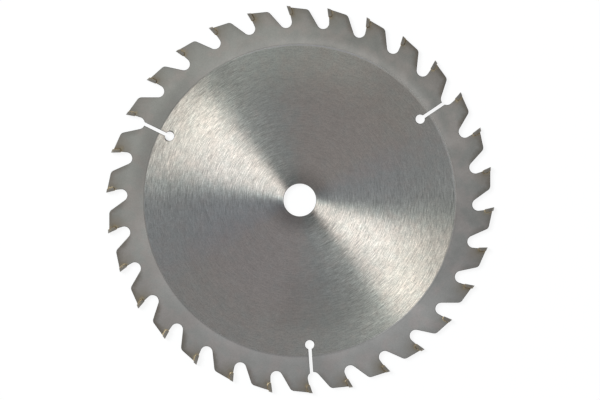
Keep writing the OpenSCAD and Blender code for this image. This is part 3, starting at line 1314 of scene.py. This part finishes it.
@dataclass
class BrazeJoints:
    """The braze that holds the tips: the film in each seat and the uneven beads that flowed out of it.

    A tooth has its own frame: its cutting edge is the origin, one axis runs back from the cutting face
    and the other runs up along it.
    """

    sizes: BladeSizes
    node: str = "braze_joints"
    finish: FlowedBraze = FlowedBraze("flowed_braze", (0.56, 0.47, 0.32), 0.55)
    back_steps: int = 9
    corner_steps: int = 6
    floor_steps: int = 4
    bead_steps: int = 5
    fillet_steps: int = 8
    wander: float = 0.9 / MM
    chance_middle: float = 0.5
    chance_swing: float = 0.7
    least_width: float = 0.6
    least_height: float = 0.7
    height_layer: float = 0.5
    least_drop: float = 0.55
    drop_layer: float = 3.0
    front_shares: Pair = (0.2, 0.5)
    front_layer: float = 4.0
    waist_share: float = 0.25
    waist_drop: float = 0.2
    smooth_angle: float = math.radians(45.0)

    def build(self, shelf: EffectShelf) -> bpy.types.Object:
        """Build the braze of all the teeth as one piece.

        Args:
            shelf: The shared effects.

        Returns:
            The braze.
        """
        points: list[Vector] = []
        faces: list[tuple[int, ...]] = []
        for number in range(len(self.sizes.tips)):
            self._add_shell(points, faces, self._bead_rings(number))
            self._add_shell(points, faces, self._fillet_rings(number))
        mesh = bpy.data.meshes.new("braze_flow")
        mesh.from_pydata(points, [], faces)
        mesh.polygons.foreach_set("use_smooth", [True] * len(mesh.polygons))
        mesh.set_sharp_from_angle(angle=self.smooth_angle)
        mesh.materials.append(self.finish.build(shelf))
        braze = bpy.data.objects.new("braze_flow", mesh)
        bpy.context.scene.collection.objects.link(braze)
        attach(braze, BODY)
        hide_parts(self.node)
        return braze

    def _to_blade(self, number: int, back: float, up: float, height: float) -> Vector:
        """Turn a point of a tooth's frame into its place on the blade.

        Args:
            number: Number of the tooth, from 0.
            back: Distance behind the cutting face.
            up: Distance up along the cutting face.
            height: Height above the middle of the plate.

        Returns:
            The point on the blade.
        """
        hook = self.sizes.hook
        across = back * math.cos(hook) - up * math.sin(hook)
        out = self.sizes.cutting_radius + back * math.sin(hook) + up * math.cos(hook)
        turn = self.sizes.first_tooth - math.pi / 2 + number * self.sizes.pitch
        x = across * math.cos(turn) - out * math.sin(turn)
        y = across * math.sin(turn) + out * math.cos(turn)
        return Vector((x, y, height))

    def _chance(self, number: int, way: float, layer: float) -> float:
        """Give an uneven value from 0 to 1 along a bead.

        Args:
            number: Number of the tooth, from 0.
            way: Distance along the bead.
            layer: Picks one of several such values.

        Returns:
            The value, the same on every run.
        """
        place = Vector((way * self.wander, number * math.e, layer * math.pi))
        return min(max(self.chance_middle + self.chance_swing * noise.noise(place), 0.0), 1.0)

    def _share(self, least: float, most: float, chance: float) -> float:
        """Give a share between the least and the most, by chance."""
        return least + (most - least) * chance

    def _land_level(self, back: float) -> float:
        """Find where the land of the tooth ends the bead.

        Args:
            back: Distance behind the cutting face.

        Returns:
            Distance up along the cutting face.
        """
        sizes = self.sizes
        fall = math.tan(sizes.hook + sizes.land_angle)
        start_back = -sizes.land_drop * math.sin(sizes.hook)
        start_up = -sizes.land_drop * math.cos(sizes.hook)
        return start_up - (back - start_back) * fall

    def _throat_start(self, up: float) -> float:
        """Find where the steel under the tip ends the bead.

        Args:
            up: Distance up along the cutting face.

        Returns:
            Distance behind the cutting face.
        """
        sizes = self.sizes
        lip = -sizes.tip_length - sizes.braze_gap
        return sizes.tip_overhang + (up - lip) * math.tan(sizes.hook - sizes.throat_angle)

    def _bead_section(self, number: int, way: float) -> list[Pair]:
        """Draw the braze across its run: a film between the two hollow beads.

        Args:
            number: Number of the tooth, from 0.
            way: Distance along the bead.

        Returns:
            Points as distance from the tip and height above the middle of the plate.
        """
        sizes = self.sizes
        section: list[Pair] = []
        for layer, side in enumerate((1.0, -1.0)):
            spread = self._chance(number, way, layer)
            rise = self._chance(number, way, layer + self.height_layer)
            width = sizes.bead_width * self._share(self.least_width, 1.0, spread)
            height = sizes.bead_height * self._share(self.least_height, 1.0, rise)
            bead = []
            for step in range(self.bead_steps + 1):
                turn = math.pi / 2 * step / self.bead_steps
                level = sizes.half_plate + height * (1 - math.sin(turn))
                bead.append((width * (1 - math.cos(turn)), side * level))
            bead.append((sizes.braze_gap, side * sizes.half_plate))
            section += bead if side > 0 else bead[::-1]
        return section

    def _bead_rings(self, number: int) -> list[list[Vector]]:
        """Sweep the bead down the back of a tip, round its foot and along under it.

        Args:
            number: Number of the tooth, from 0.

        Returns:
            Rings of points, one for each station along the bead.
        """
        sizes = self.sizes
        corner_back = sizes.tip_thickness - sizes.tip_foot_radius
        corner_up = sizes.tip_foot_radius - sizes.tip_length
        rings = []
        for step in range(self.back_steps):
            share = step / self.back_steps
            way = share * (self._land_level(sizes.tip_thickness) - corner_up)
            ring = []
            for away, height in self._bead_section(number, way):
                back = sizes.tip_thickness + away
                up = self._land_level(back) * (1 - share) + corner_up * share
                ring.append(self._to_blade(number, back, up, height))
            rings.append(ring)
        back_way = self._land_level(sizes.tip_thickness) - corner_up
        for step in range(self.corner_steps):
            turn = math.pi / 2 * step / self.corner_steps
            ring = []
            for away, height in self._bead_section(number, back_way + turn * sizes.tip_foot_radius):
                radius = sizes.tip_foot_radius + away
                back = corner_back + radius * math.cos(turn)
                ring.append(self._to_blade(number, back, corner_up - radius * math.sin(turn), height))
            rings.append(ring)
        corner_way = back_way + math.pi / 2 * sizes.tip_foot_radius
        for step in range(self.floor_steps + 1):
            share = step / self.floor_steps
            ring = []
            for away, height in self._bead_section(number, corner_way + share * corner_back):
                up = -sizes.tip_length - away
                back = corner_back * (1 - share) + self._throat_start(up) * share
                ring.append(self._to_blade(number, back, up, height))
            rings.append(ring)
        return rings

    def _fillet_rings(self, number: int) -> list[list[Vector]]:
        """Draw the hollow fillet where a tip overhangs the steel under it.

        Args:
            number: Number of the tooth, from 0.

        Returns:
            Rings of points, one for each station across the plate.
        """
        sizes = self.sizes
        heel_up = -sizes.tip_length
        lip_up = heel_up - sizes.braze_gap
        rings = []
        for step in range(self.fillet_steps + 1):
            height = sizes.half_plate * (2 * step / self.fillet_steps - 1)
            fallen = self._chance(number, height, self.drop_layer)
            pushed = self._chance(number, height, self.front_layer)
            drop = sizes.throat_fillet * self._share(self.least_drop, 1.0, fallen)
            front = sizes.tip_overhang * self._share(*self.front_shares, pushed)
            toe_up = lip_up - drop
            toe = (self._throat_start(toe_up), toe_up)
            waist_back = self._share(sizes.tip_overhang, front, self.waist_share)
            waist = (waist_back, lip_up - self.waist_drop * drop)
            root = (2 * sizes.tip_overhang, heel_up)
            seat = (self._throat_start(lip_up) + sizes.braze_gap, lip_up)
            outline = [(front, heel_up), waist, toe, seat, root]
            rings.append([self._to_blade(number, back, up, height) for back, up in outline])
        return rings

    def _add_shell(self, points: list[Vector], faces: list[tuple], rings: list[list[Vector]]) -> None:
        """Close rings of points into one shell.

        Args:
            points: The mesh's points, which grow.
            faces: The mesh's faces, which grow.
            rings: Rings with equal counts of points.
        """
        start = len(points)
        count = len(rings[0])
        for ring in rings:
            points.extend(ring)
        for row in range(len(rings) - 1):
            for column in range(count):
                beside = (column + 1) % count
                here = start + row * count
                faces.append((here + column, here + beside, here + count + beside, here + count + column))
        last = start + (len(rings) - 1) * count
        faces.append(tuple(start + column for column in reversed(range(count))))
        faces.append(tuple(last + column for column in range(count)))


@dataclass
class Studio:
    """Pale floor, soft lamp, dim surroundings and the camera above the blade."""

    sizes: BladeSizes
    floor_level: float = -1.3 * MM
    floor_radius: float = 8.0
    floor_colour: Colour = (0.8, 0.8, 0.8)
    floor_glow: float = 0.86
    floor_seen: Colour = (0.213, 0.217, 0.227)
    sky_top: Colour = (0.342, 0.342, 0.344)
    sky_edge: Colour = (0.22, 0.22, 0.22)
    camera_height: float = 1.6
    seen_width: float = 292.8 * MM
    seen_centre: Pair = (0.1 * MM, 0.0)
    lamp_distance: float = 6.0
    lamp_azimuth: float = math.radians(149.5)
    lamp_lean: float = math.radians(45.0)
    lamp_width: float = 2.66
    lamp_height: float = 3.2
    lamp_power: float = 204.0
    lamp_colour: Colour = (0.985, 1.0, 0.95)

    def build(self) -> None:
        """Build the floor, the lamp, the surroundings and the camera."""
        self._floor()
        self._sky()
        self._lamp()
        self._camera()
        bpy.context.scene.view_settings.view_transform = "Standard"

    def _floor(self) -> None:
        """Lay the floor, which looks white and keeps the blade's shadow."""
        reach = self.floor_radius
        sides = ((-reach, -reach), (reach, -reach), (reach, reach), (-reach, reach))
        corners = [(*side, self.floor_level) for side in sides]
        mesh = bpy.data.meshes.new("floor")
        mesh.from_pydata(corners, [], [tuple(range(len(corners)))])
        floor = bpy.data.objects.new("floor", mesh)
        bpy.context.scene.collection.objects.link(floor)
        material = bpy.data.materials.new("pale_floor")
        material.use_nodes = True
        graph = Graph(material.node_tree)
        path = graph.add("ShaderNodeLightPath").outputs
        seen = graph.maths("MAXIMUM", path["Is Camera Ray"], path["Is Glossy Ray"])
        seen = graph.maths("MAXIMUM", seen, path["Is Transmission Ray"])
        lit = graph.add("ShaderNodeBsdfDiffuse", {"Color": rgba(self.floor_colour)})
        shaded = graph.add("ShaderNodeBsdfDiffuse", {"Color": rgba(self.floor_seen)})
        glow = graph.add("ShaderNodeEmission", {"Strength": self.floor_glow})
        both = graph.add("ShaderNodeAddShader", {0: shaded.outputs[0], 1: glow.outputs[0]})
        mix = graph.add("ShaderNodeMixShader", {0: seen, 1: lit.outputs[0], 2: both.outputs[0]})
        graph.add("ShaderNodeOutputMaterial", {"Surface": mix.outputs[0]})
        mesh.materials.append(material)

    def _sky(self) -> None:
        """Make the surroundings, grey and a little darker towards the horizon."""
        world = bpy.data.worlds.new("studio")
        bpy.context.scene.world = world
        world.use_nodes = True
        graph = Graph(world.node_tree)
        direction = graph.add("ShaderNodeTexCoord").outputs["Generated"]
        height = graph.add("ShaderNodeSeparateXYZ", {0: direction}).outputs[2]
        share = graph.span(height, 0.0, 1.0)
        colour = graph.mix(share, rgba(self.sky_edge), rgba(self.sky_top))
        sky = graph.add("ShaderNodeBackground", {"Color": colour})
        graph.add("ShaderNodeOutputWorld", {"Surface": sky.outputs[0]})

    def _lamp(self) -> None:
        """Hang a soft lamp that points at the blade, leaning from the upright."""
        light = bpy.data.lights.new("key_lamp", "AREA")
        light.shape = "RECTANGLE"
        light.size = self.lamp_width
        light.size_y = self.lamp_height
        light.energy = self.lamp_power
        light.color = self.lamp_colour
        lamp = bpy.data.objects.new("key_lamp", light)
        bpy.context.scene.collection.objects.link(lamp)
        reach = math.sin(self.lamp_lean)
        east = math.cos(self.lamp_azimuth) * reach
        north = math.sin(self.lamp_azimuth) * reach
        away = Vector((east, north, math.cos(self.lamp_lean)))
        lamp.location = away * self.lamp_distance
        lamp.rotation_euler = (-away).to_track_quat("-Z", "Y").to_euler()

    def _camera(self) -> None:
        """Hang the camera straight above the blade, at the photograph's scale."""
        data = bpy.data.cameras.new("camera")
        data.lens = data.sensor_width * (self.camera_height - self.sizes.half_plate) / self.seen_width
        camera = bpy.data.objects.new("camera", data)
        camera.location = (*self.seen_centre, self.camera_height)
        bpy.context.scene.collection.objects.link(camera)
        bpy.context.scene.camera = camera


def main() -> None:
    """Dress the blade and set up the studio round it."""
    logging.basicConfig(level=logging.INFO, format="%(name)s: %(message)s")
    sizes = BladeSizes()
    shelf = EffectShelf(sizes)
    plate = SteelPlate(sizes).dress(shelf)
    LOG.info("%s has %d finishes", plate.name, len(plate.data.materials))
    for tip in CarbideTips(sizes).dress(shelf):
        LOG.info("%s is dressed", tip.name)
    braze = BrazeJoints(sizes).build(shelf)
    LOG.info("%s has %d faces", braze.name, len(braze.data.polygons))
    Studio(sizes).build()


if __name__ == "__main__":
    main()
